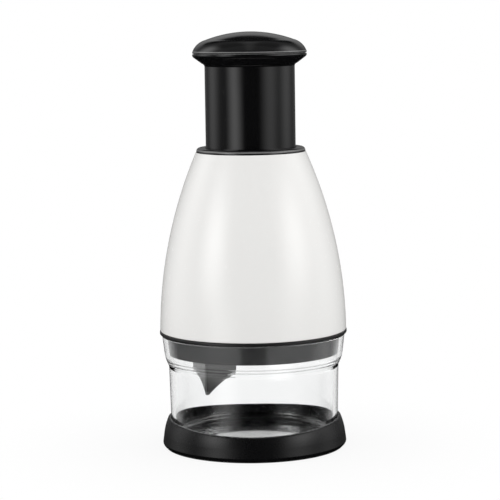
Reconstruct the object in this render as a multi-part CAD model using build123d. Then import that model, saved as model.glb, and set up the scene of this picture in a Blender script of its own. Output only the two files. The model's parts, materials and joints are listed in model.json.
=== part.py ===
from build123d import *
import os
from math import asin, atan2, cos, degrees, hypot, pi, radians, sin, sqrt, tan

# Plunger food chopper, in millimetres. The Z axis is the axis of the plunger, and z = 0 is the
# surface it stands on. Every piece is drawn where it stands with the knob up.

# ---- driving dimensions: base and cup
BASE_HEIGHT = 16.0
BASE_RADIUS = 49.5
BASE_LIP_RADIUS = 45.2          # inside of the lip that holds the cup
BASE_CREST = 45.9               # outside of the lip, before its edges are rounded
BASE_UNDERSIDE = 0.6            # the foot ring stands this far out of the underside
BASE_FLOOR_TOP = 3.0
SCOOP_DEPTH = 2.8               # the lip is this much lower at the front and the back
FOOT_INNER = 41.0
FOOT_OUTER = 48.0
FOOT_TOP = 1.8
CUP_BOTTOM = 3.2
CUP_FLOOR_TOP = 5.6
CUP_RIM = 61.1
CUP_RIM_RADIUS = 49.1
CUP_WALL = 2.2
CUP_DRAFT = 0.12                # how much the collar narrows for each millimetre down
CUP_BEND = 48.4                 # height where the collar's outside turns into the shoulder
CUP_CREASE = 44.15              # height where the shoulder meets the body
CUP_BODY_RADIUS = 45.6          # just below the shoulder
CUP_FOOT_RADIUS = 44.75         # where the wall meets the rounded bottom edge

# ---- driving dimensions: head
HOUSING_BOTTOM = 63.2
HOUSING_TOP = 158.6
HOUSING_ARC = (-193.6, 60.5, 243.55)    # radius and height of the arc's centre, and its radius
HOUSING_WALL = 2.4
NECK_BORE = 26.8
NECK_THICKNESS = 2.4
COLLAR_TOP = 161.0
COLLAR_RADIUS = 29.05
PLATE_LOW = 102.0               # drive plate
PLATE_HIGH = 105.0
PLATE_RADIUS = 42.8
TOWER_RADIUS = 15.8
TOWER_BORE = 10.6
TOWER_TOP = 113.5
BOSS_CIRCLE = 36.5
BOSS_RADIUS = 3.6
BOSS_LENGTH = 15.0
SCREW_RADIUS = 1.5
CAP_SCREW_RADIUS = 1.0
CAP_SCREW_CIRCLE = 13.2
CAP_TOP = 115.4
BUSH_LOW = 151.3                # guide bush, and the collar's spigot round it
RIB_THICKNESS = 1.6             # guide ribs on the wall, either side of each key
RIB_LOW = 114.0
RIB_HIGH = 151.0
KEY_COUNT = 3                   # guide keys, screws and bayonet lugs all come in threes
KEY_WIDTH = 4.0
KEY_GAP = 0.3

# ---- driving dimensions: guard
GUARD_BOTTOM = 51.1
GUARD_GAP = 0.35                # between the skirt and the cup's collar, all the way up
GUARD_INNER = 43.2
GASKET_TOP = 61.75              # floor of the flange's gasket recess
FLANGE_LOW = 61.35
FLANGE_TOP = 63.05
FLANGE_RADIUS = 50.2
NECK_RADIUS = 46.9              # guard's neck inside the housing
GROOVE_LOW = 64.3               # seal groove in the neck
GROOVE_HIGH = 66.2
SPIGOT_TOP = 75.0
LUG_LOW = 71.4                  # bayonet lugs on the neck
LUG_HIGH = 73.6
LUG_ANGLE = 16.0
LEDGE_LOW = 68.4                # bayonet ledges in the housing, under the lugs
LEDGE_HIGH = 71.1
LEDGE_ANGLE = 20.0

# ---- driving dimensions: plunger
SLEEVE_RADIUS = 23.95
SLEEVE_BORE = 21.8
SLEEVE_BOTTOM = 147.0
STOP_TOP = 149.2
KNOB_RADIUS = 30.4
KNOB_SEAM = 210.6
KNOB_TOP = 222.2
WEB_LOW = 201.3                 # web across the top of the sleeve
WEB_HIGH = 207.0
WEB_BORE = 9.5
WEB_SCREW_CIRCLE = 15.0
STROKE = 26.8
RUNNING = 0.1                   # radial clearance of a sliding fit

# ---- driving dimensions: spindle, blade and spring
TURN_PER_STROKE = 45.0
TWIST = TURN_PER_STROKE / STROKE        # degrees of turn for each millimetre of height
SPINDLE_SIDE = 8.4
SPINDLE_CORNER = 1.2
SPINDLE_LOW = 97.0
SPINDLE_HIGH = 187.2
TANG_SIDE = 7.0
TANG_LOW = 89.0
PIN_HEIGHT = 93.0
PIN_RADIUS = 1.0
JOURNAL_RADIUS = 3.95
JOURNAL_TOP = 205.5
BOSS_LOW = 190.0                # bottom of the bearing plate's boss
NECK_OF_CLIP = 3.3              # radius at the bottom of the clip's groove
CLIP_LOW = 202.2
CLIP_HIGH = 203.1
NUT_LOW = 107.25
NUT_HIGH = 111.2
TEETH_LOW = 105.9
TOOTH_HEIGHT = 1.2
TEETH_INNER = 7.0
TEETH_OUTER = 9.9
CARRIER_LOW = 82.0
CARRIER_RADIUS = 39.8
BLADE_THICKNESS = 0.7
BLADE_TIP = 32.8
BLADE_EDGE = 51.5               # lower edge between the teeth
BLADE_TOP = 86.3
BLADE_FOLD = (-24.57, -29.47)   # outer corner of the zigzag
BLADE_WING = 38.0               # length of the panel outside each corner
BLADE_WING_HEADING = 110.0      # direction of that panel, in degrees from +X
BLADE_FAR_TIP = 46.5            # the far corner's tooth is much shorter
INNER_FLANK = ((11.0, 37.6), (23.5, 41.3))      # reach and height of a tooth's flank, halfway and at its end
WING_FLANK = ((9.0, 38.9), (22.0, 42.8))
POINT_REACH = 8.6               # short points, halfway and at the ends
POINT_TIP = 48.5
WIPER_LOW = 52.6
WIPER_HIGH = 54.2
WIPER_RADIUS = 42.8
WIPER_SLOT = 1.5
SPRING_RADIUS = 19.3
WIRE_RADIUS = 0.85
SPRING_LOW = 106.0              # upper face of the spring seat
SPRING_HIGH = 198.2             # underside of the bearing plate
SPRING_TURNS = 10

THIRDS = [360.0 / KEY_COUNT * i for i in range(KEY_COUNT)]


# ---- shared shapes
def turned(*edges):
    """A solid of revolution about Z from a closed outline in radius and height."""
    return revolve(Plane.XZ * make_face(list(edges)), Axis.Z)


def ring(outer, inner, low, high):
    """A plain ring between two radii and two heights."""
    return Pos(0, 0, low) * extrude(Circle(outer) - Circle(inner), high - low)


def disc(radius, low, high):
    """A plain disc between two heights."""
    return Pos(0, 0, low) * extrude(Circle(radius), high - low)


def rounded_ring(outer, inner, low, high, edge):
    """A ring with all four edges rounded."""
    section = RectangleRounded(outer - inner, high - low, edge)
    middle = Pos((outer + inner) / 2, (low + high) / 2)
    return revolve(Plane.XZ * (middle * section), Axis.Z)


def sector(outer, inner, low, high, heading, width):
    """A slice of a ring, centred on a heading and so many degrees wide."""
    reach = outer * 1.5
    half = radians(width / 2)
    wedge = Polyline((0, 0), (reach, -reach * tan(half)), (reach, reach * tan(half)), (0, 0))
    slice_face = make_face(wedge) & (Circle(outer) - Circle(inner))
    return Rot(0, 0, heading) * Pos(0, 0, low) * extrude(slice_face, high - low)


def circles(shape, radius):
    """The round edges of a shape that have a given radius."""
    round_edges = shape.edges().filter_by(GeomType.CIRCLE)
    return [edge for edge in round_edges if abs(edge.radius - radius) < 0.01]


def crown(apex, radius, height):
    """An arc from a dome's apex down to a rim, centred on the axis."""
    drop = apex - height
    sphere = (radius ** 2 + drop ** 2) / (2 * drop)
    half = asin(radius / sphere) / 2
    middle = (sphere * sin(half), apex - sphere * (1 - cos(half)))
    return ThreePointArc((0, apex), middle, (radius, height))


def around(shape, headings):
    """Copies of a shape, turned about Z."""
    return [Rot(0, 0, heading) * shape for heading in headings]


def pan_screw(head_radius, head_height, length, radius=SCREW_RADIUS, slot_width=0.7):
    """A slotted pan-head screw pointing up, with the underside of its head at the origin."""
    head = Pos(0, 0, -head_height) * extrude(Circle(head_radius), head_height)
    head = fillet(head.edges().group_by(Axis.Z)[0], head_height * 0.4)
    slot = Pos(0, 0, -head_height) * Box(head_radius * 3, slot_width, head_height)
    return head - slot + extrude(Circle(radius - 0.02), length)


def housing_radius(height, inset=0.0):
    """Radius of the housing's bell at a height, or of its wall some way inside."""
    centre_radius, centre_height, arc = HOUSING_ARC
    return centre_radius + sqrt((arc - inset) ** 2 - (height - centre_height) ** 2)


def bell(low, high, inset):
    """The solid inside the bell's surface, or inside a surface inset from it."""
    middle = (low + high) / 2
    foot = (housing_radius(low, inset), low)
    waist = (housing_radius(middle, inset), middle)
    head = (housing_radius(high, inset), high)
    side = ThreePointArc(foot, waist, head)
    rest = Polyline(head, (0, high), (0, low), foot)
    return turned(side, rest)


def zigzag(width, bend=1.0, wing=BLADE_WING):
    """Plan of the blade: a wing, the long panel through the middle, and the other wing."""
    fold_x, fold_y = BLADE_FOLD
    end_x = fold_x + wing * cos(radians(BLADE_WING_HEADING))
    end_y = fold_y + wing * sin(radians(BLADE_WING_HEADING))
    corners = [(end_x, end_y), (fold_x, fold_y), (-fold_x, -fold_y), (-end_x, -end_y)]
    return trace(FilletPolyline(*corners, radius=bend), line_width=width)


def spiral(side, corner, low, high):
    """A length of the square spiral that the spindle and its nut share."""
    start = Rot(0, 0, TWIST * (low - SPINDLE_LOW)) * RectangleRounded(side, side, corner)
    rise = high - low
    return Solid.extrude_linear_with_rotation(
        Pos(0, 0, low) * start.face(), (0, 0, low), (0, 0, rise), TWIST * rise
    )


def ratchet_teeth(inner, outer, low, height, upward):
    """Eight sawteeth on the face of a ring, one for each turn of 45 degrees."""
    width = 1.9 * inner * tan(pi / 8)
    left, right = -width / 2, width / 2
    if upward:
        outline = Polyline((left, 0), (right, 0), (right, height), (left, 0))
    else:
        outline = Polyline((left, height), (right, height), (left, 0), (left, height))
    tooth = extrude(Plane.YZ * make_face(outline), outer - inner)
    return around(Pos(inner, 0, low) * tooth, [45.0 * i for i in range(8)])


# ---- base and cup
def base_shell():
    """Dish with a rounded side and a lip that dips at the front and the back."""
    uncut_top = BASE_HEIGHT + 1
    crest = (BASE_CREST, uncut_top)
    inner_wall = (BASE_LIP_RADIUS - 0.3, 7.4)
    floor_edge = (40.5, BASE_FLOOR_TOP)
    underside_edge = (47.9, BASE_UNDERSIDE)
    widest = (BASE_RADIUS, 2.6)
    wall_top = (48.85, 7.4)
    outline = [
        Polyline(crest, (BASE_LIP_RADIUS, uncut_top), inner_wall),
        ThreePointArc(inner_wall, (43.7, 4.2), floor_edge),
        Polyline(floor_edge, (0, BASE_FLOOR_TOP), (0, BASE_UNDERSIDE), underside_edge),
        ThreePointArc(underside_edge, (49.0, 1.25), widest),
        Line(widest, wall_top),
        ThreePointArc(wall_top, (47.9, 11.9), crest),
    ]
    shell = turned(*outline)
    scoop_radius = (BASE_CREST ** 2 + SCOOP_DEPTH ** 2) / (2 * SCOOP_DEPTH)
    roof = Pos(0, 0, BASE_HEIGHT - scoop_radius) * Rot(0, 90, 0) * Cylinder(scoop_radius, 4 * BASE_RADIUS)
    shell = shell & roof
    cut_edges = [edge for edge in shell.edges() if edge.geom_type == GeomType.BSPLINE]
    lip_edges = [edge for edge in cut_edges if edge.center().Z > BASE_HEIGHT / 2]
    return fillet(lip_edges, 0.6) - ring(FOOT_OUTER, FOOT_INNER, 0, FOOT_TOP)


def foot_ring():
    """Rubber ring in a groove of the underside."""
    return rounded_ring(FOOT_OUTER, FOOT_INNER, 0, FOOT_TOP, 0.3)


def collar_radius(height):
    """Outside of the cup's drafted collar at a height."""
    return CUP_RIM_RADIUS - CUP_DRAFT * (CUP_RIM - height)


def chopping_cup():
    """Clear cup: a wide collar round the guard, a sloping shoulder and a drafted body, all of one thickness."""
    bend = (collar_radius(CUP_BEND), CUP_BEND)
    foot = (CUP_FOOT_RADIUS, 8.0)
    heel = (foot[0] - 4.4, CUP_BOTTOM)
    inner_foot = (CUP_FOOT_RADIUS - CUP_WALL, 9.6)
    inner_heel = (inner_foot[0] - 4.4, CUP_FLOOR_TOP)
    inner_bend = (bend[0] - CUP_WALL, CUP_BEND)
    inner_crease = (CUP_BODY_RADIUS - CUP_WALL, CUP_CREASE)
    outline = [
        Polyline((CUP_RIM_RADIUS, CUP_RIM), bend, (CUP_BODY_RADIUS, CUP_CREASE), foot),
        ThreePointArc(foot, (foot[0] - 1.25, 4.5), heel),
        Polyline(heel, (0, CUP_BOTTOM), (0, CUP_FLOOR_TOP), inner_heel),
        ThreePointArc(inner_heel, (inner_foot[0] - 1.25, 6.7), inner_foot),
        Polyline(inner_foot, inner_crease, inner_bend, (CUP_RIM_RADIUS - CUP_WALL, CUP_RIM),
                 (CUP_RIM_RADIUS, CUP_RIM)),
    ]
    cup = turned(*outline)
    for corner, outside, inside in ((bend, 16, 14), ((CUP_BODY_RADIUS, CUP_CREASE), 3, 5)):
        cup = fillet(circles(cup, corner[0]), outside)
        cup = fillet(circles(cup, corner[0] - CUP_WALL), inside)
    return fillet(cup.edges().group_by(Axis.Z)[-1], 0.6)


# ---- guard
def blade_guard():
    """Skirt inside the cup, flange under the housing, and the neck that locks into it."""
    recess = GASKET_TOP
    skirt_foot = collar_radius(GUARD_BOTTOM) - CUP_WALL - GUARD_GAP
    skirt_top = collar_radius(recess) - CUP_WALL - GUARD_GAP
    ledge = 41.2
    ledge_top = WIPER_LOW - 0.3
    groove = NECK_RADIUS - 1.0
    neck_top = GROOVE_HIGH + 1.0
    spigot = NECK_RADIUS - 1.7
    spigot_bore = 43.6
    outline = Polyline(
        (ledge, GUARD_BOTTOM), (skirt_foot, GUARD_BOTTOM), (skirt_top, recess),
        (49.3, recess), (49.3, FLANGE_LOW), (FLANGE_RADIUS, FLANGE_LOW), (FLANGE_RADIUS, FLANGE_TOP),
        (NECK_RADIUS, FLANGE_TOP), (NECK_RADIUS, GROOVE_LOW), (groove, GROOVE_LOW), (groove, GROOVE_HIGH),
        (NECK_RADIUS, GROOVE_HIGH), (NECK_RADIUS, neck_top), (spigot, neck_top), (spigot, SPIGOT_TOP),
        (spigot_bore, SPIGOT_TOP), (spigot_bore, 61.0), (GUARD_INNER, 60.0), (GUARD_INNER, ledge_top),
        (ledge, ledge_top), (ledge, GUARD_BOTTOM),
    )
    guard = turned(outline)
    guard = fillet(circles(guard, skirt_foot), 0.7)
    guard = fillet(circles(guard, FLANGE_RADIUS), 0.5)
    for heading in THIRDS:
        guard += sector(NECK_RADIUS, spigot - 0.6, LUG_LOW, LUG_HIGH, heading, LUG_ANGLE)
        guard += sector(GUARD_INNER + 0.2, 42.3, WIPER_HIGH + 0.5, WIPER_HIGH + 1.7, heading + 60, 10)
    return guard


def cup_gasket():
    """Flat rubber ring in the flange's underside, which meets the cup's rim."""
    return rounded_ring(49.2, 46.75, CUP_RIM + 0.15, GASKET_TOP, 0.15)


def guard_seal():
    """O-ring in the groove of the guard's neck."""
    return Pos(0, 0, (GROOVE_LOW + GROOVE_HIGH) / 2) * Torus(NECK_RADIUS - 0.2, 0.74)


def wiper_plate():
    """Plate that the blade slides through; its slot strips off the food."""
    clearance = (WIPER_SLOT - BLADE_THICKNESS) / 2
    outline = zigzag(WIPER_SLOT, wing=BLADE_WING + clearance)
    slot = Pos(0, 0, WIPER_LOW - 1) * extrude(outline, WIPER_HIGH - WIPER_LOW + 2)
    return disc(WIPER_RADIUS, WIPER_LOW, WIPER_HIGH) - slot


# ---- head
def housing_shell():
    """White bell with a neck plate, guide ribs, screw bosses and bayonet ledges inside."""
    skin = bell(HOUSING_BOTTOM, HOUSING_TOP, 0)
    hollow = bell(HOUSING_BOTTOM - 1, HOUSING_TOP - NECK_THICKNESS, HOUSING_WALL)
    shell = skin - hollow - disc(NECK_BORE, HOUSING_TOP - 4, HOUSING_TOP + 1)
    inside = bell(HOUSING_BOTTOM, HOUSING_TOP - 1, HOUSING_WALL * 0.5)
    rib_offset = (KEY_WIDTH + RIB_THICKNESS) / 2 + KEY_GAP
    fittings = []
    for heading in THIRDS:
        for side in (-1, 1):
            place = Pos(36, side * rib_offset, (RIB_LOW + RIB_HIGH) / 2)
            rib = place * Box(17.2, RIB_THICKNESS, RIB_HIGH - RIB_LOW)
            fittings.append(Rot(0, 0, heading) * rib)
        boss = Pos(BOSS_CIRCLE, 0, PLATE_HIGH) * extrude(Circle(BOSS_RADIUS), BOSS_LENGTH)
        web = Pos(BOSS_CIRCLE + 4, 0, PLATE_HIGH + BOSS_LENGTH / 2) * Box(8, 3, BOSS_LENGTH)
        hole = Pos(BOSS_CIRCLE, 0, PLATE_HIGH - 1) * extrude(Circle(SCREW_RADIUS), BOSS_LENGTH - 2)
        fittings.append(Rot(0, 0, heading + 60) * (boss + web - hole))
        fittings.append(sector(48.5, 45.7, LEDGE_LOW, LEDGE_HIGH, heading, LEDGE_ANGLE))
    for fitting in fittings:
        shell += fitting & inside
    return fillet(circles(shell, housing_radius(HOUSING_BOTTOM)), 0.5)


def collar_ring():
    """Black ring on top of the housing, with the spigot that snaps into its neck."""
    lip = SLEEVE_RADIUS + 0.4
    spigot = NECK_BORE - 0.05
    bush_seat = 25.5
    seat = HOUSING_TOP + 0.05
    collar = turned(Polyline(
        (lip, HOUSING_TOP - 0.1), (lip, COLLAR_TOP), (COLLAR_RADIUS, COLLAR_TOP), (COLLAR_RADIUS, seat),
        (spigot, seat), (spigot, BUSH_LOW), (bush_seat, BUSH_LOW), (bush_seat, HOUSING_TOP - 0.1),
        (lip, HOUSING_TOP - 0.1),
    ))
    for radius, rounding in ((COLLAR_RADIUS, 1.8), (lip, 0.5)):
        top_edge = [edge for edge in circles(collar, radius) if edge.center().Z > HOUSING_TOP + 1]
        collar = fillet(top_edge, rounding)
    return collar


def guide_bush():
    """Plain bearing that the sleeve slides in."""
    return ring(25.45, SLEEVE_RADIUS + RUNNING, BUSH_LOW, HOUSING_TOP - 0.2)


def stop_bumper():
    """Rubber ring under the bush, which the sleeve's stop flange meets."""
    return rounded_ring(26.7, SLEEVE_RADIUS + 0.4, STOP_TOP + 0.3, BUSH_LOW - 0.1, 0.4)


def drive_plate():
    """Plate across the housing with a tower for the nut and a seat for the spring."""
    plate = disc(PLATE_RADIUS, PLATE_LOW, PLATE_HIGH) + disc(TOWER_RADIUS, PLATE_HIGH, TOWER_TOP)
    plate -= disc(6.6, PLATE_LOW - 1, PLATE_HIGH + 1) + disc(TOWER_BORE, PLATE_HIGH, TOWER_TOP + 1)
    screw_hole = Pos(BOSS_CIRCLE, 0, PLATE_LOW) * Cylinder(SCREW_RADIUS + 0.1, 20)
    cap_hole = Pos(CAP_SCREW_CIRCLE, 0, TOWER_TOP) * Cylinder(CAP_SCREW_RADIUS, 10)
    window = sector(33.0, 25.0, PLATE_LOW - 1, PLATE_HIGH + 1, 0, 70)
    for heading in THIRDS:
        plate -= Rot(0, 0, heading + 60) * screw_hole
        plate -= Rot(0, 0, heading) * cap_hole
        plate -= Rot(0, 0, heading) * window
    return plate


def plate_screws():
    """Three screws that hold the drive plate to the housing's bosses."""
    screw = Pos(BOSS_CIRCLE, 0, PLATE_LOW) * pan_screw(3.4, 2.0, 14)
    return Compound(around(screw, [heading + 60 for heading in THIRDS]))


def ratchet_ring():
    """Ring with upward sawteeth, at the bottom of the tower."""
    body = ring(TOWER_BORE - 0.05, 6.8, PLATE_HIGH + 0.02, TEETH_LOW)
    return body + ratchet_teeth(TEETH_INNER, TEETH_OUTER, TEETH_LOW, TOOTH_HEIGHT, True)


def drive_nut():
    """Nut with the square spiral bore, and sawteeth that sit in the ratchet ring."""
    body = disc(TOWER_BORE - 0.3, NUT_LOW, NUT_HIGH)
    body += ratchet_teeth(TEETH_INNER, TEETH_OUTER, NUT_LOW - TOOTH_HEIGHT, TOOTH_HEIGHT, False)
    return body - spiral(SPINDLE_SIDE + 0.4, SPINDLE_CORNER + 0.2, 104.0, 113.0)


def coil(radius, wire, low, high, turns):
    """A spring of round wire between two heights."""
    height = high - low - 2 * wire
    path = Helix(pitch=height / turns, height=height, radius=radius)
    section = Plane(origin=path @ 0, z_dir=path % 0) * Circle(wire)
    return Pos(0, 0, low + wire) * sweep(section, path=path)


def nut_spring():
    """Small spring that keeps the nut on the ratchet."""
    return coil(8.6, 0.3, NUT_HIGH + 0.05, TOWER_TOP - 0.1, 2)


def nut_cap():
    """Cover of the tower."""
    cap = ring(TOWER_RADIUS, 6.8, TOWER_TOP + 0.02, CAP_TOP)
    hole = Pos(CAP_SCREW_CIRCLE, 0, TOWER_TOP) * Cylinder(CAP_SCREW_RADIUS + 0.1, 10)
    for heading in THIRDS:
        cap -= Rot(0, 0, heading) * hole
    return cap


def cap_screws():
    """Three small screws that hold the nut cap."""
    screw = pan_screw(1.9, 1.2, 5.5, CAP_SCREW_RADIUS, 0.5)
    return Compound(around(Pos(CAP_SCREW_CIRCLE, 0, CAP_TOP + 0.02) * Rot(180, 0, 0) * screw, THIRDS))


def spring_seat():
    """Steel washer between the drive plate and the return spring."""
    return ring(21.4, 17.2, PLATE_HIGH + 0.02, SPRING_LOW - 0.02)


# ---- plunger
def plunger_sleeve():
    """Tube with the flared underside of the knob, a web at the top and a stop flange below."""
    stop_radius = 26.6
    flare_foot = (SLEEVE_RADIUS, 204.1)
    cone_low = (25.31, 205.5)
    cone_high = (29.37, 208.5)
    rim = (KNOB_RADIUS, 210.0)
    cap_seat = 26.2
    outline = [
        Polyline((SLEEVE_BORE, SLEEVE_BOTTOM), (stop_radius, SLEEVE_BOTTOM), (stop_radius, STOP_TOP),
                 (SLEEVE_RADIUS, STOP_TOP), flare_foot),
        ThreePointArc(flare_foot, (24.32, 204.85), cone_low),
        Line(cone_low, cone_high),
        ThreePointArc(cone_high, (30.13, 209.2), rim),
        Polyline(rim, (KNOB_RADIUS - 0.15, KNOB_SEAM - 0.1), (29.9, KNOB_SEAM), (cap_seat, KNOB_SEAM),
                 (cap_seat, WEB_HIGH), (WEB_BORE, WEB_HIGH), (WEB_BORE, WEB_LOW), (SLEEVE_BORE, WEB_LOW),
                 (SLEEVE_BORE, SLEEVE_BOTTOM)),
    ]
    sleeve = turned(*outline)
    stop_height = STOP_TOP - SLEEVE_BOTTOM
    key = Pos(stop_radius + 0.8, 0, SLEEVE_BOTTOM + stop_height / 2) * Box(3.2, KEY_WIDTH, stop_height)
    hole = Pos(WEB_SCREW_CIRCLE, 0, WEB_LOW) * Cylinder(SCREW_RADIUS + 0.1, 20)
    for heading in THIRDS:
        sleeve += Rot(0, 0, heading) * key
        sleeve -= Rot(0, 0, heading) * hole
    return sleeve


def knob_cap():
    """Domed cap, hollow inside, with a ring that snaps into the sleeve's flare."""
    shoulder = (23.3, 218.0)
    rim = (KNOB_RADIUS, 211.5)
    seam_top = KNOB_SEAM + 0.35
    seam_floor = 29.3
    spigot = 26.1
    inner = 24.1
    inner_top = 214.9
    inner_apex = KNOB_TOP - 2.6
    outline = [
        crown(KNOB_TOP, *shoulder),
        ThreePointArc(shoulder, (27.85, 215.5), rim),
        Polyline(rim, (KNOB_RADIUS - 0.2, seam_top), (seam_floor, seam_top), (seam_floor, KNOB_SEAM + 0.02),
                 (spigot, KNOB_SEAM + 0.02), (spigot, WEB_HIGH + 0.4), (inner, WEB_HIGH + 0.4),
                 (inner, inner_top)),
        crown(inner_apex, inner, inner_top),
        Line((0, inner_apex), (0, KNOB_TOP)),
    ]
    return turned(*outline)


def bearing_plate():
    """Disc under the web that takes the spring and carries the spindle."""
    plate = disc(SLEEVE_BORE - 0.1, SPRING_HIGH, WEB_LOW - 0.05) + disc(7.0, BOSS_LOW, SPRING_HIGH)
    plate -= disc(JOURNAL_RADIUS + 0.05, BOSS_LOW - 1, WEB_LOW + 1)
    hole = Pos(WEB_SCREW_CIRCLE, 0, SPRING_HIGH) * Cylinder(SCREW_RADIUS, 20)
    for heading in THIRDS:
        plate -= Rot(0, 0, heading) * hole
    return plate


def bearing_screws():
    """Three screws through the web into the bearing plate."""
    screw = Pos(WEB_SCREW_CIRCLE, 0, WEB_HIGH) * Rot(180, 0, 0) * pan_screw(2.8, 1.8, 8.5)
    return Compound(around(screw, THIRDS))


def return_spring():
    """Compression spring inside the sleeve."""
    return coil(SPRING_RADIUS, WIRE_RADIUS, SPRING_LOW, SPRING_HIGH, SPRING_TURNS)


# ---- spindle and blade
def drive_spindle():
    """Square spiral rod with a tang for the carrier below and a journal above."""
    tang = Pos(0, 0, TANG_LOW) * extrude(RectangleRounded(TANG_SIDE, TANG_SIDE, 0.8), SPINDLE_LOW - TANG_LOW)
    rod = spiral(SPINDLE_SIDE, SPINDLE_CORNER, SPINDLE_LOW, SPINDLE_HIGH)
    journal = disc(JOURNAL_RADIUS, SPINDLE_HIGH, JOURNAL_TOP) - ring(5.0, NECK_OF_CLIP, CLIP_LOW, CLIP_HIGH)
    collar = disc(6.6, SPINDLE_HIGH, SPINDLE_HIGH + 1.6)
    spindle = tang + rod + collar + journal
    return spindle - cross_pin(PIN_RADIUS + 0.02)


def cross_pin(radius):
    """The pin through the carrier's hub and the tang, or the hole for it."""
    return Pos(0, 0, PIN_HEIGHT) * Rot(0, 90, 0) * Cylinder(radius, 17.6)


def thrust_washer():
    """Washer between the spindle's collar and the bearing plate's boss."""
    return ring(6.8, JOURNAL_RADIUS + 0.05, SPINDLE_HIGH + 1.7, BOSS_LOW - 0.2)


def head_washer():
    """Washer above the bearing plate."""
    return ring(7.6, JOURNAL_RADIUS + 0.05, WEB_LOW + 0.05, CLIP_LOW - 0.05)


def retaining_clip():
    """E-clip in the journal's groove."""
    clip = ring(6.2, NECK_OF_CLIP + 0.02, CLIP_LOW + 0.05, CLIP_HIGH - 0.05)
    return clip - Pos(4, 0, CLIP_LOW) * Box(8, 5.4, 3)


def hub_pin():
    """Cross pin that holds the carrier on the spindle."""
    return cross_pin(PIN_RADIUS)


def blade_carrier():
    """Moulded disc round the top of the blade, with a rib over it and a hub for the spindle."""
    carrier = disc(CARRIER_RADIUS, CARRIER_LOW, CARRIER_LOW + 2.6)
    carrier += ring(CARRIER_RADIUS, CARRIER_RADIUS - 2.2, CARRIER_LOW, CARRIER_LOW + 4.5)
    rib = Pos(0, 0, CARRIER_LOW) * extrude(zigzag(4.2, bend=2.4), 6.0)
    carrier += rib & disc(CARRIER_RADIUS, CARRIER_LOW, 90)
    carrier += disc(9.0, CARRIER_LOW, SPINDLE_LOW)
    pocket_low = CARRIER_LOW - 1
    pocket_high = BLADE_TOP + 0.05
    carrier -= Pos(0, 0, pocket_low) * extrude(zigzag(BLADE_THICKNESS + 0.02), pocket_high - pocket_low)
    socket = TANG_SIDE + 0.06
    carrier -= Pos(0, 0, TANG_LOW - 0.1) * extrude(RectangleRounded(socket, socket, 0.8), 10)
    return carrier - cross_pin(PIN_RADIUS + 0.02)


def edge_cutter(length, flank, tip_height):
    """What is cut away below one panel: past the corner's tooth, up to the edge, down to the short point."""
    flattening = (BLADE_EDGE - tip_height) / (BLADE_EDGE - BLADE_TIP)
    middle, end = [(reach, tip_height + flattening * (height - BLADE_TIP)) for reach, height in flank]
    tip = (1.7, tip_height)
    point_start = (length - POINT_REACH, BLADE_EDGE)
    point = (length - 0.5, POINT_TIP)
    below = BLADE_TIP - 2
    outline = [
        ThreePointArc(tip, middle, end),
        Polyline(end, (end[0] + 0.6, BLADE_EDGE), point_start),
        ThreePointArc(point_start, (length - 3.0, BLADE_EDGE - 1.0), point),
        Polyline(point, (length + 0.5, POINT_TIP), (length + 0.5, below), (tip[0], below), tip),
    ]
    return extrude(make_face(outline), 1.2, both=True)


def zigzag_blade():
    """One steel strip bent into a Z, with a long tooth at the near corner and a short one at the far corner."""
    strip = Pos(0, 0, BLADE_TIP) * extrude(zigzag(BLADE_THICKNESS), BLADE_TOP - BLADE_TIP)
    fold_x, fold_y = BLADE_FOLD
    inward = degrees(atan2(-fold_y, -fold_x))
    half_length = hypot(fold_x, fold_y)
    for turn, tip_height in ((0, BLADE_TIP), (180, BLADE_FAR_TIP)):
        inner_panel = (inward, half_length, INNER_FLANK)
        wing_panel = (BLADE_WING_HEADING, BLADE_WING, WING_FLANK)
        for heading, length, flank in (inner_panel, wing_panel):
            along = (cos(radians(heading)), sin(radians(heading)), 0)
            across = (along[1], -along[0], 0)
            panel = Plane(origin=(fold_x, fold_y, 0), x_dir=along, z_dir=across)
            strip -= Rot(0, 0, turn) * (panel * edge_cutter(length, flank, tip_height))
        corner = Rot(0, 0, turn) * Pos(fold_x, fold_y, tip_height - 10)
        strip -= corner * Box(5, 5, 20)
    return strip


NODES = {
    "base_shell": base_shell,
    "foot_ring": foot_ring,
    "chopping_cup": chopping_cup,
    "blade_guard": blade_guard,
    "cup_gasket": cup_gasket,
    "guard_seal": guard_seal,
    "wiper_plate": wiper_plate,
    "housing_shell": housing_shell,
    "collar_ring": collar_ring,
    "guide_bush": guide_bush,
    "stop_bumper": stop_bumper,
    "drive_plate": drive_plate,
    "plate_screws": plate_screws,
    "ratchet_ring": ratchet_ring,
    "drive_nut": drive_nut,
    "nut_spring": nut_spring,
    "nut_cap": nut_cap,
    "cap_screws": cap_screws,
    "spring_seat": spring_seat,
    "plunger_sleeve": plunger_sleeve,
    "knob_cap": knob_cap,
    "bearing_plate": bearing_plate,
    "bearing_screws": bearing_screws,
    "return_spring": return_spring,
    "drive_spindle": drive_spindle,
    "thrust_washer": thrust_washer,
    "head_washer": head_washer,
    "retaining_clip": retaining_clip,
    "hub_pin": hub_pin,
    "blade_carrier": blade_carrier,
    "zigzag_blade": zigzag_blade,
}

os.makedirs("parts", exist_ok=True)
for name, make in NODES.items():
    export_step(make(), f"parts/{name}.step")
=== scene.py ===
import json
import math

import bmesh
import bpy
from bpy.props import FloatProperty, FloatVectorProperty, IntProperty, PointerProperty
from mathutils import Matrix, Vector

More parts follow.
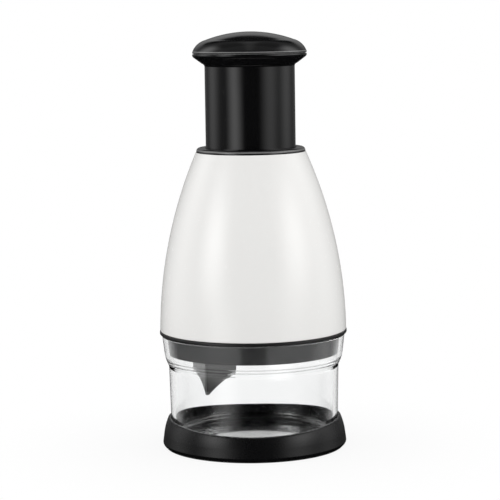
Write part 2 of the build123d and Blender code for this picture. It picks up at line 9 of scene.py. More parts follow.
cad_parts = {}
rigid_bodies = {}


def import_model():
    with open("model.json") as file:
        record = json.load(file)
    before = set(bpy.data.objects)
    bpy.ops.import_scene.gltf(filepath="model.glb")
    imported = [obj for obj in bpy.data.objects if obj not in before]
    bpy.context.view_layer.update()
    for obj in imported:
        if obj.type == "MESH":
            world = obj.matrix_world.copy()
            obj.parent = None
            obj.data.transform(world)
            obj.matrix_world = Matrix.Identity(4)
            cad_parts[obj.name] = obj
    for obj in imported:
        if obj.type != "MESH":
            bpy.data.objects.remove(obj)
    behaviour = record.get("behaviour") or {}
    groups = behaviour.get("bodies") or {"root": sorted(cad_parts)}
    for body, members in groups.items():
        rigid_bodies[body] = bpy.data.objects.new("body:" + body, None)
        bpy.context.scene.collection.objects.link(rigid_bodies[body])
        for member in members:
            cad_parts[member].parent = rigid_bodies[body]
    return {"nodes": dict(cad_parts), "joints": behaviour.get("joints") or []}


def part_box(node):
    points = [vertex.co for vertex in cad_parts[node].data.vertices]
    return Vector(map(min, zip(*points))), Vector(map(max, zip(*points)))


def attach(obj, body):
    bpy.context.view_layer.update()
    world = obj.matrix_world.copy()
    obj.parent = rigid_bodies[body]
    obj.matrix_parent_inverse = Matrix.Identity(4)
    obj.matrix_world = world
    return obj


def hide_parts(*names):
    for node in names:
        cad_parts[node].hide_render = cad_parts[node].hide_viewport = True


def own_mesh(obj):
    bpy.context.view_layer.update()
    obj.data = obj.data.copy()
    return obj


bl_info = {
    "name": "Plunger Food Chopper",
    "version": (1, 0, 0),
    "blender": (4, 5, 0),
    "location": "View3D > Sidebar > Chopper",
    "description": "Dresses the packed food chopper with its finishes, its ground blade and a white studio",
    "category": "Object",
}

MM = 0.001

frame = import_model()
bpy.context.view_layer.update()
NODES = frame["nodes"]
STRIP_LOW, STRIP_HIGH = (corner.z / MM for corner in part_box("zigzag_blade"))

# The blade's strip seen from above, in millimetres: an inner panel through the axis, and a wing at each end.
NEAR_CORNER = Vector((-24.57, -29.47))
HALF_PANEL = 38.37                # from the axis to a corner
WING = 38.0
WING_HEADING = math.radians(110.0)
ON_PANEL = 1.2                    # a spot this near to the inner panel's line belongs to that panel

# The blade's lower edge, in millimetres along the strip from a corner, or back from the end of a panel.
TIP_REACH = 1.7                   # half width of a tooth's flat tip
INNER_FLANK = ((11.0, 37.6), (23.5, 41.3))      # near tooth's flank: reach and height, halfway and at its end
WING_FLANK = ((9.0, 38.9), (22.0, 42.8))
STEP_REACH = 0.6                  # from the end of a flank up to the straight edge
POINT_REACH = 8.6                 # short points at the axis and at the ends of the wings
POINT_MIDDLE = (3.0, 1.0)         # a spot on their curve: back from the end, and below the straight edge
POINT_FLAT = 0.5                  # half width of their flat tips


# ---- settings
def length(name, description, default):
    """A size property in metres, given in millimetres."""
    return FloatProperty(
        name=name, description=description, default=default * MM, min=0.0, unit="LENGTH", precision=5
    )


def colour(name, description, default):
    """A colour property."""
    return FloatVectorProperty(
        name=name, description=description, default=default, size=3, min=0.0, max=1.0, subtype="COLOR",
        precision=4,
    )


class ChopperSizes(bpy.types.PropertyGroup):
    """Sizes of the pieces that are modelled here."""

    strip_thickness: length("Strip thickness", "Thickness of the blade's steel strip", 0.7)
    strip_edge: length("Edge thickness", "Thickness left along the ground edge", 0.1)
    ground_width: length("Ground width", "Height of the ground bevel above the cutting edge", 1.7)
    strip_top: length("Strip top", "Height of the strip's top edge, inside the carrier", STRIP_HIGH)
    tip_height: length("Tip height", "Height of the tip of the near corner's tooth", STRIP_LOW)
    far_tip_height: length("Far tip height", "Height of the tip of the far corner's tooth", 46.5)
    edge_height: length("Edge height", "Height of the cutting edge between the teeth", 51.5)
    point_height: length("Point height", "Height of the short points' tips", 48.5)
    bend_radius: length("Bend radius", "Radius of the strip at its two corners", 1.0)
    spring_radius: length("Spring radius", "Radius of the return spring, to the middle of its wire", 19.3)
    wire_radius: length("Wire radius", "Radius of the return spring's wire", 0.85)
    spring_foot: length("Spring foot", "Height of the return spring's lower end", 106.0)
    spring_top: length("Spring top", "Height of the return spring's upper end with the knob up", 198.2)
    spring_turns: IntProperty(
        name="Spring turns", description="Turns of the return spring", default=10, min=1
    )


class ChopperColours(bpy.types.PropertyGroup):
    """Colours of the finishes."""

    shell: colour("Shell", "Glossy off-white housing", (0.80, 0.795, 0.78))
    gloss: colour("Gloss black", "Knob, sleeve and collar", (0.0030, 0.0030, 0.0033))
    # partly the guard's own dark colour and partly painted light: raised to a grey for the glow of light
    # through the cup
    guard: colour("Guard", "Dark skirt round the blade", (0.0300, 0.0300, 0.0310))
    base: colour("Base", "Satin black base", (0.0035, 0.0035, 0.0038))
    rubber: colour("Rubber", "Foot ring, gasket and seals", (0.0080, 0.0080, 0.0080))
    clear: colour("Clear", "Clear cup", (0.988, 0.992, 0.992))
    blade: colour("Blade", "Ground stainless strip", (0.20, 0.20, 0.198))
    wire: colour("Wire", "Spring wire and clip", (0.42, 0.42, 0.41))
    zinc: colour("Zinc", "Plated screws and washers", (0.55, 0.55, 0.54))
    nylon: colour("Nylon", "Filled nylon of the inner plates", (0.095, 0.095, 0.10))
    acetal: colour("Acetal", "Natural acetal of the bearings and the nut", (0.70, 0.69, 0.65))


class StudioSettings(bpy.types.PropertyGroup):
    """Camera, lamps and surroundings."""

    focal_length: FloatProperty(
        name="Focal length", description="Lens of the camera", default=149.76, min=10.0, unit="CAMERA"
    )
    camera_place: FloatVectorProperty(
        name="Camera place", description="Where the camera stands", default=(-0.00117, -1.10598, 0.23989),
        size=3, subtype="TRANSLATION", precision=5,
    )
    pitch: FloatProperty(
        name="Pitch", description="How far the camera looks down", default=math.radians(6.916),
        subtype="ANGLE",
    )
    roll: FloatProperty(
        name="Roll", description="Turn of the camera about its line of sight", default=math.radians(-0.81),
        subtype="ANGLE",
    )
    floor_radius: length("Floor radius", "Radius of the white table top", 550.0)
    ambient: FloatProperty(
        name="Ambient", description="Even light from the surroundings on matt surfaces", default=0.98, min=0.0
    )
    lamp_power: FloatProperty(
        name="Lamp power", description="Power of each soft lamp", default=0.8, min=0.0, unit="POWER"
    )
    lamp_distance: length("Lamp distance", "From the middle of the chopper to each soft lamp", 1200.0)
    middle_height: length("Middle height", "Height of the spot that the lamps point at", 110.0)
    turn_steps: IntProperty(
        name="Turn steps", description="Sides of the round table top", default=96, min=12
    )


# ---- shader expressions
class Field:
    """A socket of a node tree. Operators on it add Math nodes."""

    def __init__(self, tree, socket):
        self.tree = tree
        self.socket = socket

    @classmethod
    def node(cls, tree, kind, settings=None, inputs=None, output=0):
        """Adds a node: its settings first, then its sockets' values or links. Gives an output as a field."""
        node = tree.nodes.new(kind)
        for name, value in (settings or {}).items():
            setattr(node, name, value)
        for name, value in (inputs or {}).items():
            if isinstance(value, cls):
                tree.links.new(value.socket, node.inputs[name])
            elif isinstance(value, tuple) and len(value) == 3 and len(node.inputs[name].default_value) == 4:
                node.inputs[name].default_value = (*value, 1.0)
            else:
                node.inputs[name].default_value = value
        return cls(tree, node.outputs[output])

    @classmethod
    def math(cls, operation, *values):
        """A Math node on numbers and fields, at least one of them a field."""
        tree = next(value.tree for value in values if isinstance(value, cls))
        return cls.node(tree, "ShaderNodeMath", {"operation": operation}, dict(enumerate(values)))

    def output(self, name):
        """Another output of the node that this field comes from."""
        return Field(self.tree, self.socket.node.outputs[name])

    def __add__(self, other):
        return Field.math("ADD", self, other)

    def __radd__(self, other):
        return Field.math("ADD", other, self)

    def __sub__(self, other):
        return Field.math("SUBTRACT", self, other)

    def __rsub__(self, other):
        return Field.math("SUBTRACT", other, self)

    def __mul__(self, other):
        return Field.math("MULTIPLY", self, other)

    def __rmul__(self, other):
        return Field.math("MULTIPLY", other, self)

    def __pow__(self, other):
        return Field.math("POWER", self, other)

    def __abs__(self):
        return Field.math("ABSOLUTE", self)

    def rise(self, low, high):
        """0 below one value and 1 above the other, with a soft step between them. High may be the smaller."""
        inputs = {"Value": self, "From Min": low, "From Max": high}
        return Field.node(self.tree, "ShaderNodeMapRange", {"interpolation_type": "SMOOTHSTEP"}, inputs)

    def near(self, middle, reach):
        """1 at a value, falling to 0 at a distance from it."""
        return abs(self - middle).rise(reach, 0.0)


class Finish:
    """A material with one Principled shader, read on object coordinates."""

    def __init__(self, name, **constants):
        self.material = bpy.data.materials.new(name)
        self.material.use_nodes = True
        self.tree = self.material.node_tree
        self.shader = self.tree.nodes["Principled BSDF"]
        for socket, value in constants.items():
            self.shader.inputs[socket.replace("_", " ")].default_value = value
        self.place = Field.node(self.tree, "ShaderNodeTexCoord", output="Object")
        x = Field.node(self.tree, "ShaderNodeSeparateXYZ", inputs={0: self.place}, output="X")
        y = x.output("Y")
        self.z = x.output("Z")
        self.radius = (x * x + y * y) ** 0.5

    def noise(self, size, detail=2.0, stretch=(1, 1, 1), seed=0.0):
        """Noise from 0 to 1 with features of a size in millimetres, stretched along some axes."""
        scale = tuple(1.0 / (size * MM * s) for s in stretch)
        spot = Field.node(
            self.tree, "ShaderNodeMapping", {"vector_type": "POINT"},
            {"Vector": self.place, "Location": (seed, seed * 0.7, seed * 1.3), "Scale": scale},
        )
        inputs = {"Vector": spot, "Scale": 1.0, "Detail": detail, "Roughness": 0.55}
        return Field.node(self.tree, "ShaderNodeTexNoise", {}, inputs)

    def hairlines(self, size, stretch, seed=0.0, width=0.03):
        """Thin broken lines along the stretched direction."""
        lines = self.noise(size, 1.0, stretch, seed).near(0.5, width)
        return lines * self.noise(size * 9, 2.0, seed=seed + 4.0).rise(0.5, 0.62)

    def blend(self, factor, first, second):
        """A mix of two colours."""
        inputs = {0: factor, 6: first, 7: second}
        return Field.node(self.tree, "ShaderNodeMix", {"data_type": "RGBA"}, inputs, 2)

    def put(self, **fields):
        """Links fields to the shader's sockets."""
        for socket, field in fields.items():
            self.tree.links.new(field.socket, self.shader.inputs[socket.replace("_", " ")])

    def bump(self, height, depth):
        """Raises the surface by a field from 0 to 1, to a depth in millimetres."""
        inputs = {"Strength": 1.0, "Distance": depth * MM, "Height": height}
        self.put(Normal=Field.node(self.tree, "ShaderNodeBump", {}, inputs))

    def show_instead(self, factor, shader):
        """Shows another shader in place of the Principled one, by a factor from 0 to 1."""
        own = Field(self.tree, self.shader.outputs[0])
        mixed = Field.node(self.tree, "ShaderNodeMixShader", {}, {0: factor, 1: own, 2: shader})
        self.tree.links.new(mixed.socket, self.tree.nodes["Material Output"].inputs["Surface"])

    def dress(self, *names):
        """Gives the finish to CAD nodes."""
        for name in names:
            node = NODES[name]
            node.data.materials.clear()
            node.data.materials.append(self.material)


def shade(rgb, factor):
    """A darker or lighter colour."""
    return tuple(min(1.0, c * factor) for c in rgb)


def dress_matt(name, rgb, roughness, grain, nodes):
    """A moulded plastic or rubber with a fine grain, mottled a little."""
    finish = Finish(name)
    mottle = finish.noise(9.0, 3.0)
    grains = finish.noise(grain, 2.0, seed=3.0)
    finish.put(
        Base_Color=finish.blend(mottle, shade(rgb, 0.88), shade(rgb, 1.12)),
        Roughness=roughness - 0.06 + 0.12 * finish.noise(4.0, 3.0, seed=7.0),
    )
    finish.bump(grains, 0.02)
    finish.dress(*nodes)


def dress_metal(name, rgb, roughness, grain, stretch, nodes):
    """A metal with drawn or turned lines."""
    finish = Finish(name, Metallic=1.0)
    lines = finish.noise(grain, 2.0, stretch)
    stain = finish.noise(5.0, 3.0, seed=2.0)
    finish.put(
        Base_Color=finish.blend(lines * 0.6 + stain * 0.4, shade(rgb, 0.85), shade(rgb, 1.12)),
        Roughness=roughness - 0.08 + 0.16 * lines,
    )
    finish.bump(lines, 0.004)
    finish.dress(*nodes)
    return finish


def add_object(context, name, mesh):
    """Puts a modelled mesh into the scene as an object."""
    data = bpy.data.meshes.new(name)
    mesh.to_mesh(data)
    mesh.free()
    item = bpy.data.objects.new(name, data)
    context.scene.collection.objects.link(item)
    return item


# ---- pieces
class Operator(bpy.types.Operator):
    """What the operators share."""

    bl_options = {"REGISTER", "UNDO"}

    @staticmethod
    def colours(context):
        return context.scene.chopper_colours

    @staticmethod
    def sizes(context):
        return context.scene.chopper_sizes


class CHOPPER_OT_housing(Operator):
    """Finishes the white housing"""

    bl_idname = "chopper.housing"
    bl_label = "Housing"

    def execute(self, context):
        white = tuple(self.colours(context).shell)
        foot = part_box("housing_shell")[0].z
        finish = Finish("housing_white", Specular_IOR_Level=0.5)
        cloud = finish.noise(28.0, 2.0)
        speck = finish.noise(0.7, 1.0, seed=5.0).rise(0.78, 0.84)
        # painted shade: darker in patches along the housing's foot, at its joint with the guard
        foot_shade = finish.z.near(foot, 2.2 * MM) * finish.noise(6.0, 3.0, seed=9.0)
        marks = finish.hairlines(0.5, (14, 14, 1), 2.0) + finish.hairlines(0.6, (1, 9, 12), 6.0)
        mottled = finish.blend(cloud, shade(white, 0.995), shade(white, 1.005))
        painted_light = finish.blend(foot_shade * 0.18, mottled, shade(white, 0.85))
        finish.put(
            Base_Color=finish.blend(speck * 0.15, painted_light, shade(white, 0.80)),
            Roughness=0.17 + 0.03 * finish.noise(16.0, 3.0, seed=1.0) + 0.10 * marks,
        )
        finish.bump(finish.noise(5.0, 1.0, seed=8.0), 0.002)
        finish.dress("housing_shell")
        return {"FINISHED"}


class CHOPPER_OT_plunger(Operator):
    """Finishes the knob, the sleeve and the collar in gloss black"""

    bl_idname = "chopper.plunger"
    bl_label = "Knob, sleeve and collar"

    def execute(self, context):
        black = tuple(self.colours(context).gloss)
        highlight_grey = (0.22, 0.22, 0.22)
        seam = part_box("plunger_sleeve")[1].z
        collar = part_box("collar_ring")[1]
        # painted highlight: pale lines along the knob's seam and the collar's top edge, for the glints on
        # those rounded edges
        knob_highlight_lines = ((seam + 1.3 * MM, 0.5 * MM), (seam + 0.4 * MM, 0.3 * MM))
        collar_highlight_lines = ((collar.z - 1.1 * MM, 0.7 * MM),)
        for name, node, along, edges in (
            ("knob_black", "knob_cap", (1, 1, 1), knob_highlight_lines),
            ("sleeve_black", "plunger_sleeve", (1, 1, 40), ()),
            ("collar_black", "collar_ring", (12, 12, 1), collar_highlight_lines),
        ):
            finish = Finish(name)
            rubbed = finish.hairlines(0.35, along, 1.0, 0.02) + finish.hairlines(0.5, (10, 4, 1), 5.0, 0.02)
            touched = finish.noise(14.0, 2.0, seed=3.0).rise(0.45, 0.75)
            dust = finish.noise(0.5, 1.0, seed=7.0).rise(0.80, 0.86)
            outside = finish.radius.rise(collar.x - 0.95 * MM, collar.x - 0.25 * MM)
            rim = sum(finish.z.near(height, reach) for height, reach in edges) * outside
            # painted highlight along those lines, broken by noise, and rougher there
            painted_light = rim * (0.6 + 0.4 * finish.noise(2.5, 3.0, seed=4.0))
            tone = finish.blend(finish.noise(22.0, 2.0), shade(black, 0.8), shade(black, 1.25))
            finish.put(
                Base_Color=finish.blend(dust * 0.06 + painted_light * 0.9, tone, highlight_grey),
                Roughness=0.11 + 0.05 * touched + 0.10 * rubbed + 0.05 * dust + 0.20 * painted_light,
            )
            finish.bump(finish.noise(2.6, 1.0, seed=6.0), 0.003)
            finish.dress(node)
        return {"FINISHED"}


class CHOPPER_OT_guard(Operator):
    """Finishes the dark guard"""

    bl_idname = "chopper.guard"
    bl_label = "Guard"

    def execute(self, context):
        grey = tuple(self.colours(context).guard)
        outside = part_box("blade_guard")[1].x
        cup_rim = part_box("chopping_cup")[1].z
        finish = Finish("guard_dark")
        washed = finish.noise(8.0, 3.0).rise(0.35, 0.75)
        edge = finish.radius.near(outside, 0.5 * MM) * finish.noise(3.0, 3.0, seed=2.0)
        # painted light: the guard keeps its raised grey below the cup's rim; above it, the flange, seen
        # straight, is near black
        flange = finish.z.rise(cup_rim + 0.1 * MM, cup_rim + 0.4 * MM)
        # lighter in washed patches and along the outer rim
        washed_and_rim = finish.blend(washed * 0.3 + edge * 0.3, grey, shade(grey, 1.6))
        finish.put(
            Base_Color=finish.blend(flange, washed_and_rim, shade(grey, 0.2)),
            Roughness=0.38 + 0.08 * washed + 0.10 * finish.hairlines(0.5, (9, 9, 1), 3.0),
        )
        finish.bump(finish.noise(1.8, 2.0, seed=5.0), 0.004)
        finish.dress("blade_guard")
        return {"FINISHED"}


class CHOPPER_OT_base(Operator):
    """Finishes the satin base, its rubber ring and the other rubber pieces"""

    bl_idname = "chopper.base"
    bl_label = "Base and rubber"

    def execute(self, context):
        black = tuple(self.colours(context).base)
        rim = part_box("base_shell")[1].z
        finish = Finish("base_black", Specular_IOR_Level=0.27)
        grain = finish.noise(0.45, 2.0, seed=2.0)
        cloud = finish.noise(12.0, 3.0)
        lip = finish.z.rise(rim - 3.4 * MM, rim) * finish.noise(2.0, 3.0, seed=6.0)
        finish.put(
            Base_Color=finish.blend(cloud * 0.6 + lip * 0.4, shade(black, 0.8), shade(black, 1.5)),
            Roughness=0.22 + 0.06 * cloud + 0.05 * grain,
        )
        finish.bump(grain, 0.008)
        finish.dress("base_shell")
        dress_matt(
            "rubber_black", tuple(self.colours(context).rubber), 0.62, 0.6,
            ["foot_ring", "cup_gasket", "guard_seal", "stop_bumper"],
        )
        return {"FINISHED"}


class CHOPPER_OT_cup(Operator):
    """Finishes the clear cup"""

    bl_idname = "chopper.cup"
    bl_label = "Clear cup"

    def execute(self, context):
        clear = tuple(self.colours(context).clear)
        foot, rim = (corner.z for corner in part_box("chopping_cup"))
        finish = Finish("cup_clear", IOR=1.49, Transmission_Weight=1.0)
        scuffs = finish.hairlines(0.5, (12, 12, 1), 1.0) + finish.hairlines(0.6, (1, 1, 16), 3.0)
        standing = finish.z.rise(foot + 9 * MM, foot) * finish.noise(1.5, 3.0, seed=5.0)
        # painted shade: two dark lines round the wall where it bends into its shoulder, outside and inside,
        # for the dark lines the bend shows; they are bumped a little too
        painted_bend_lines = sum(finish.z.near(rim - depth * MM, 0.5 * MM) for depth in (12.7, 14.3))
        tint = finish.blend(finish.noise(30.0, 1.0), shade(clear, 0.992), clear)
        finish.put(
            Base_Color=finish.blend(painted_bend_lines * 0.7, tint, shade(clear, 0.55)),
            Roughness=0.012 + 0.05 * scuffs + 0.05 * standing,
        )
        finish.bump(finish.noise(14.0, 1.0, seed=8.0) * 0.15 + painted_bend_lines * 0.85, 0.08)
        see_through = Field.node(finish.tree, "ShaderNodeBsdfTransparent", {}, {"Color": (0.96, 0.97, 0.97)})
        for_shadows = Field.node(finish.tree, "ShaderNodeLightPath", output="Is Shadow Ray")
        finish.show_instead(for_shadows, see_through)
        finish.dress("chopping_cup")
        return {"FINISHED"}


class Arc:
    """The height of a circular arc through three points, at a distance along its base line."""

    def __init__(self, start, middle, end):
        (ax, ay), (bx, by), (cx, cy) = start, middle, end
        twice = 2 * (ax * (by - cy) + bx * (cy - ay) + cx * (ay - by))
        a, b, c = ax * ax + ay * ay, bx * bx + by * by, cx * cx + cy * cy
        self.x = (a * (by - cy) + b * (cy - ay) + c * (ay - by)) / twice
        self.y = (a * (cx - bx) + b * (ax - cx) + c * (bx - ax)) / twice
        self.radius = math.hypot(ax - self.x, ay - self.y)
        self.side = 1 if by > self.y else -1

    def height(self, x):
        return self.y + self.side * math.sqrt(max(0.0, self.radius ** 2 - (x - self.x) ** 2))


def edge_height(sizes, near, inner, reach):
    """Height of the blade's lower edge, at a reach in millimetres along a panel from its near or far corner.

    The edge has a flat tip at the corner, a curved flank, a step, a straight stretch and a short point.
    """
    edge, point, lowest = sizes.edge_height / MM, sizes.point_height / MM, sizes.tip_height / MM
    tip = lowest if near else sizes.far_tip_height / MM
    flank, panel = (INNER_FLANK, HALF_PANEL) if inner else (WING_FLANK, WING)
    middle, end = ((x, tip + (edge - tip) / (edge - lowest) * (height - lowest)) for x, height in flank)
    point_start, point_end = (panel - POINT_REACH, edge), (panel - POINT_FLAT, point)
    if reach <= TIP_REACH:
        height = tip
    elif reach <= end[0]:
        height = Arc((TIP_REACH, tip), middle, end).height(reach)
    elif reach <= end[0] + STEP_REACH:
        height = end[1] + (edge - end[1]) * (reach - end[0]) / STEP_REACH
    elif reach <= point_start[0]:
        height = edge
    elif reach <= point_end[0]:
        point_middle = (panel - POINT_MIDDLE[0], edge - POINT_MIDDLE[1])
        height = Arc(point_start, point_middle, point_end).height(reach)
    else:
        height = point
    return height * MM


class CHOPPER_OT_blade(Operator):
    """Makes the blade: one steel strip bent into a Z, with toothed and ground lower edges"""

    bl_idname = "chopper.blade"
    bl_label = "Blade"

    def execute(self, context):
        sizes = self.sizes(context)
        mesh = bmesh.new()
        ground = mesh.verts.layers.float.new("ground")
        thick = mesh.verts.layers.deform.verify()
        self.top_edge(mesh, sizes)
        for vert in mesh.verts:
            vert[thick][0] = 1.0
        # Three rows below the top edge: halfway down, where the bevel starts, and the cutting edge.
        for row in range(3):
            level = [edge for edge in mesh.edges if edge.is_wire or row and edge.is_boundary
                     and all(vert.tag for vert in edge.verts)]
            made = bmesh.ops.extrude_edge_only(mesh, edges=level)["geom"]
            for vert in mesh.verts:
                vert.tag = False
            for vert in (item for item in made if isinstance(item, bmesh.types.BMVert)):
                vert.tag = True
                spot = vert.co.xy / MM
                near, far = (spot - NEAR_CORNER).length, (spot + NEAR_CORNER).length
                inner = abs(spot.cross(NEAR_CORNER)) / NEAR_CORNER.length < ON_PANEL
                low = edge_height(sizes, near < far, inner, min(near, far))
                vert.co.z = ((sizes.strip_top + low) / 2, low + sizes.ground_width, low)[row]
                vert[ground] = float(row == 2)
                vert[thick][0] = 0.0 if row == 2 else 1.0
        bmesh.ops.recalc_face_normals(mesh, faces=mesh.faces)
        blade = add_object(context, "cutting_blade", mesh)
        blade.vertex_groups.new(name="full_thickness")
        wall = blade.modifiers.new("Strip", "SOLIDIFY")
        wall.thickness = sizes.strip_thickness
        wall.offset = 0.0
        wall.use_even_offset = True
        wall.vertex_group = "full_thickness"
        wall.thickness_vertex_group = sizes.strip_edge / sizes.strip_thickness
        blade.data.materials.append(self.steel(context))
        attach(blade, "blade")
        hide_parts("zigzag_blade")
        return {"FINISHED"}

    def top_edge(self, mesh, sizes):
        """The strip's top edge: the Z with its corners bent, and its panels cut finely for the teeth."""
        wing_end = NEAR_CORNER + WING * Vector((math.cos(WING_HEADING), math.sin(WING_HEADING)))
        plan = (wing_end, NEAR_CORNER, -NEAR_CORNER, -wing_end)
        corners = [mesh.verts.new((x * MM, y * MM, sizes.strip_top)) for x, y in plan]
        for a, b in zip(corners, corners[1:]):
            mesh.edges.new((a, b))
        between = WING_HEADING - math.atan2(-NEAR_CORNER.y, -NEAR_CORNER.x)
        bmesh.ops.bevel(
            mesh, geom=corners[1:3], offset=sizes.bend_radius / math.tan(between / 2), offset_type="OFFSET",
            segments=6, profile=0.5, affect="VERTICES", material=-1,
        )
        panels = [edge for edge in mesh.edges if edge.calc_length() > 10 * MM]
        bmesh.ops.subdivide_edges(mesh, edges=panels, cuts=95)

    def steel(self, context):
        """Ground stainless with painted shade, darker downwards, with lines along the strip and steeper ones
        on the bevel.
        """
        steel = tuple(self.colours(context).blade)
        sizes = self.sizes(context)
        finish = Finish("blade_ground", Metallic=1.0)
        along = finish.noise(0.28, 3.0, (60, 60, 1))
        across = finish.noise(0.22, 2.0, (1, 1, 12), 3.0)
        ground = Field.node(finish.tree, "ShaderNodeAttribute", {"attribute_name": "ground"}, output="Fac")
        bevel = ground.rise(0.02, 0.12)
        lines = along * (1 - bevel) + across * bevel
        spots = finish.noise(3.0, 3.0, seed=6.0).rise(0.62, 0.8)
        # painted shade: the strip is darker towards the tooth tips and lighter higher up
        lit_above_tip = finish.z.rise(sizes.tip_height + 1.2 * MM, sizes.edge_height - 1.5 * MM)
        tone = finish.blend(lines * 0.4 + lit_above_tip * 0.6, shade(steel, 0.5), shade(steel, 1.4))
        bright = finish.blend(bevel * 0.6, tone, shade(steel, 1.7))
        finish.put(
            Base_Color=finish.blend(spots * 0.25, bright, shade(steel, 0.55)),
            Roughness=0.30 + 0.14 * lines - 0.08 * bevel,
        )
        finish.bump(lines, 0.004)
        return finish.material


class CHOPPER_OT_spring(Operator):
    """Makes the return spring, which moves with the plunger"""

    bl_idname = "chopper.spring"
    bl_label = "Return spring"

    def execute(self, context):
        sizes = self.sizes(context)
        free = sizes.spring_top - sizes.spring_foot
        steps_per_turn = 36
        steps = sizes.spring_turns * steps_per_turn
        climb = (free - 2 * sizes.wire_radius) / steps
        mesh = bmesh.new()
        start = Matrix.Translation((sizes.spring_radius, 0, sizes.spring_foot + sizes.wire_radius))
        upright = Matrix.Rotation(math.pi / 2, 4, "X")
        bmesh.ops.create_circle(mesh, segments=10, radius=sizes.wire_radius, matrix=start @ upright)
        bmesh.ops.spin(
            mesh, geom=mesh.edges[:], cent=(0, 0, 0), axis=(0, 0, 1), dvec=(0, 0, climb),
            angle=math.tau * sizes.spring_turns, steps=steps,
        )
        bmesh.ops.holes_fill(mesh, edges=[edge for edge in mesh.edges if edge.is_boundary], sides=10)
        bmesh.ops.recalc_face_normals(mesh, faces=mesh.faces)
        for face in mesh.faces:
            face.smooth = len(face.verts) == 4
        spring = add_object(context, "plunger_spring", mesh)
        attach(spring, "plunger")
        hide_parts("return_spring")
        press = next(joint for joint in frame["joints"] if joint["name"] == "plunger_press")
        kept = (free - press["range_m"][1]) / free
        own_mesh(spring)
        finish = dress_metal(
            "wire_drawn", tuple(self.colours(context).wire), 0.30, 0.3, (8, 8, 1),
            ["nut_spring", "retaining_clip"],
        )
        spring.data.materials.append(finish.material)
        return {"FINISHED"}


class CHOPPER_OT_inside(Operator):
    """Finishes the pieces inside: plates, bearings, screws and washers"""

    bl_idname = "chopper.inside"
    bl_label = "Inner pieces"

    def execute(self, context):
        colours = self.colours(context)
        dress_matt(
            "nylon_grey", tuple(colours.nylon), 0.42, 0.5,
            ["wiper_plate", "drive_plate", "nut_cap", "bearing_plate", "blade_carrier"],
        )
        dress_matt(
            "acetal_white", tuple(colours.acetal), 0.34, 0.8,
            ["guide_bush", "ratchet_ring", "drive_nut", "drive_spindle"],
        )
        dress_metal(
            "zinc_plated", tuple(colours.zinc), 0.34, 0.25, (3, 3, 1),
            ["plate_screws", "cap_screws", "bearing_screws", "spring_seat", "thrust_washer", "head_washer",
             "hub_pin"],
        )
        return {"FINISHED"}


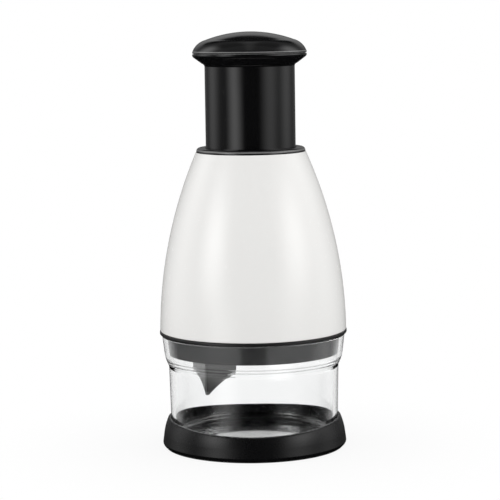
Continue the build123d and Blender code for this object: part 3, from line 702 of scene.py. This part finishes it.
# ---- stage
class CHOPPER_OT_stage(Operator):
    """Sets the white table, the surroundings, the soft lamps and the camera"""

    bl_idname = "chopper.stage"
    bl_label = "Studio"

    def execute(self, context):
        studio = context.scene.chopper_studio
        self.table(context, studio)
        self.surroundings(context, studio)
        self.lamps(context, studio)
        self.camera(context, studio)
        context.scene.view_settings.view_transform = "Standard"
        return {"FINISHED"}

    def table(self, context, studio):
        """A white round table top. It keeps the shadow near the chopper and is plain white further out."""
        mesh = bmesh.new()
        bmesh.ops.create_circle(mesh, cap_ends=True, segments=studio.turn_steps, radius=studio.floor_radius)
        top = add_object(context, "table_top", mesh)
        top.visible_glossy = False
        top.visible_transmission = False
        finish = Finish("table_white", Roughness=0.9, Base_Color=(0.82, 0.82, 0.82, 1.0))
        glow = Field.node(finish.tree, "ShaderNodeEmission", {}, {"Color": (1.0, 1.0, 1.0), "Strength": 1.0})
        eye = Field.node(finish.tree, "ShaderNodeLightPath", output="Is Camera Ray")
        white = 0.88 + 0.12 * finish.radius.rise(60 * MM, 160 * MM)
        finish.show_instead(eye * white, glow)
        top.data.materials.append(finish.material)

    def surroundings(self, context, studio):
        """White to the eye, and nearly even for matt surfaces. Gloss sees painted soft boxes, and glass sees
        those and white.

        Heading is in degrees to the right of the front, and lift in degrees above level.
        """
        world = bpy.data.worlds.new("studio_room")
        context.scene.world = world
        world.use_nodes = True
        tree = world.node_tree
        direction = Field.node(tree, "ShaderNodeTexCoord", output="Generated")
        x = Field.node(tree, "ShaderNodeSeparateXYZ", inputs={0: direction}, output="X")
        degrees = 57.3
        heading = Field.math("ARCTAN2", x, -1 * x.output("Y")) * degrees
        lift = Field.math("ARCSINE", x.output("Z")) * degrees
        turned = abs(heading)

        eye = Field.node(tree, "ShaderNodeLightPath", output="Is Camera Ray")
        glossy = eye.output("Is Glossy Ray")
        through = eye.output("Is Transmission Ray")
        mirrored = eye.output("Glossy Depth")

        # Through glass, a view steeply down or towards the back is white, and a straight one nearly white.
        open_view = Field.math("MAXIMUM", lift.rise(-28, -38), turned.rise(110, 140) * lift.rise(60, 40))
        straight = through * Field.math("LESS_THAN", mirrored, 0.5)
        white = Field.math("MAXIMUM", 1.08 * through * open_view, 0.82 * straight)

        # A band below level that only glass sees, dark straight in front and strongest on the right.
        floor = 1.25 * lift.near(-24, 10) * turned.rise(12, 23) * turned.rise(178, 130)
        floor = floor * (1 + 1.8 * heading.rise(78, 112))

        room = self.painted_room(x, heading, lift)
        seen = Field.math("MAXIMUM", room + through * floor, white)
        special = Field.math("MAXIMUM", glossy, through)
        even = studio.ambient * (0.92 + 0.42 * turned.near(100, 62))
        light = eye + (1 - eye) * (special * seen + (1 - special) * even)
        tree.links.new(light.socket, tree.nodes["Background"].inputs["Strength"])
        tree.nodes["Background"].inputs["Color"].default_value = (1.0, 1.0, 1.0, 1.0)

    def painted_room(self, x, heading, lift):
        """Brightness of the dark room with soft boxes that gloss sees."""
        turned = abs(heading)

        # A broad box at each side with a faint fill round it, and a dim wall behind.
        low_side = lift.rise(-15, 1)
        side = (heading.near(-107, 31) + heading.near(101, 34)) * (0.7 + 0.7 * lift.rise(0, 30))
        side = side * lift.rise(58, 38)
        fill = 0.20 * turned.rise(50, 75) * turned.rise(160, 130) * lift.rise(60, 40)
        behind = turned.rise(135, 160) * (0.16 + 0.24 * lift.rise(6, 20)) * lift.rise(31, 26)

        # A leaning box left and right of the front, each brightest at a lift of 16 degrees.
        tall = lift.rise(44, 24)
        left_box = (heading + 40 + 14 * lift.rise(-3, 5)).near(0, 28)
        left = left_box * (1.8 * lift.rise(-24, -4) * tall + 2.8 * lift.near(16, 17))
        right_box = (heading - 51 - 11 * lift.rise(-3, 10)).near(0, 33)
        right = right_box * (0.9 * lift.rise(-18, -2) * tall + 2.9 * lift.near(16, 19))

        # A dim ceiling with a brighter strip along its middle.
        above = lift.rise(38, 52) * (0.13 + 0.12 * turned.rise(100, 60))
        above = above + 0.25 * lift.rise(50, 60) * x.near(0, 0.17)
        return 0.006 + low_side * (side + fill + behind) + left + right + above

    def lamps(self, context, studio):
        """A soft lamp on each side and one above. Gloss sees the room's soft boxes instead of them."""
        lamps = (("left", -48, 22, 0.8), ("right", 57, 22, 0.8), ("top", 10, 62, 0.9))
        for name, heading, height, size in lamps:
            lamp = bpy.data.lights.new("lamp_" + name, "AREA")
            lamp.shape = "SQUARE"
            lamp.size = size
            lamp.energy = studio.lamp_power
            item = bpy.data.objects.new("lamp_" + name, lamp)
            context.scene.collection.objects.link(item)
            turn, tilt = math.radians(heading), math.radians(height)
            back = Vector((math.sin(turn) * math.cos(tilt), -math.cos(turn) * math.cos(tilt), math.sin(tilt)))
            item.location = Vector((0, 0, studio.middle_height)) + back * studio.lamp_distance
            item.rotation_euler = (-back).to_track_quat("-Z", "Y").to_euler()
            item.visible_glossy = False

    def camera(self, context, studio):
        """A long lens in front, looking slightly down."""
        data = bpy.data.cameras.new("camera")
        data.lens = studio.focal_length
        data.sensor_width = 36.0
        data.clip_start = 0.05
        data.clip_end = 20.0
        camera = bpy.data.objects.new("camera", data)
        context.scene.collection.objects.link(camera)
        aim = Matrix.Rotation(math.pi / 2 - studio.pitch, 4, "X") @ Matrix.Rotation(studio.roll, 4, "Z")
        camera.matrix_world = Matrix.Translation(studio.camera_place) @ aim
        context.scene.camera = camera


class VIEW3D_PT_chopper(bpy.types.Panel):
    """Lists the steps and the settings"""

    bl_label = "Food Chopper"
    bl_space_type = "VIEW_3D"
    bl_region_type = "UI"
    bl_category = "Chopper"

    def draw(self, context):
        for step in STEPS:
            self.layout.operator(step.bl_idname)
        for group in ("chopper_sizes", "chopper_colours", "chopper_studio"):
            settings = getattr(context.scene, group)
            box = self.layout.box()
            for name in settings.__annotations__:
                box.prop(settings, name)


STEPS = (
    CHOPPER_OT_housing, CHOPPER_OT_plunger, CHOPPER_OT_guard, CHOPPER_OT_base, CHOPPER_OT_cup,
    CHOPPER_OT_blade, CHOPPER_OT_spring, CHOPPER_OT_inside, CHOPPER_OT_stage,
)
CLASSES = (ChopperSizes, ChopperColours, StudioSettings, *STEPS, VIEW3D_PT_chopper)


def register():
    for item in CLASSES:
        bpy.utils.register_class(item)
    bpy.types.Scene.chopper_sizes = PointerProperty(type=ChopperSizes)
    bpy.types.Scene.chopper_colours = PointerProperty(type=ChopperColours)
    bpy.types.Scene.chopper_studio = PointerProperty(type=StudioSettings)


def unregister():
    del bpy.types.Scene.chopper_studio
    del bpy.types.Scene.chopper_colours
    del bpy.types.Scene.chopper_sizes
    for item in reversed(CLASSES):
        bpy.utils.unregister_class(item)


def main():
    register()
    for item in list(bpy.data.objects):
        if item.type in {"LIGHT", "CAMERA"} or item.name == "Cube":
            bpy.data.objects.remove(item)
    bpy.ops.chopper.housing()
    bpy.ops.chopper.plunger()
    bpy.ops.chopper.guard()
    bpy.ops.chopper.base()
    bpy.ops.chopper.cup()
    bpy.ops.chopper.blade()
    bpy.ops.chopper.spring()
    bpy.ops.chopper.inside()
    bpy.ops.chopper.stage()
    bpy.context.view_layer.update()


if __name__ == "__main__":
    main()
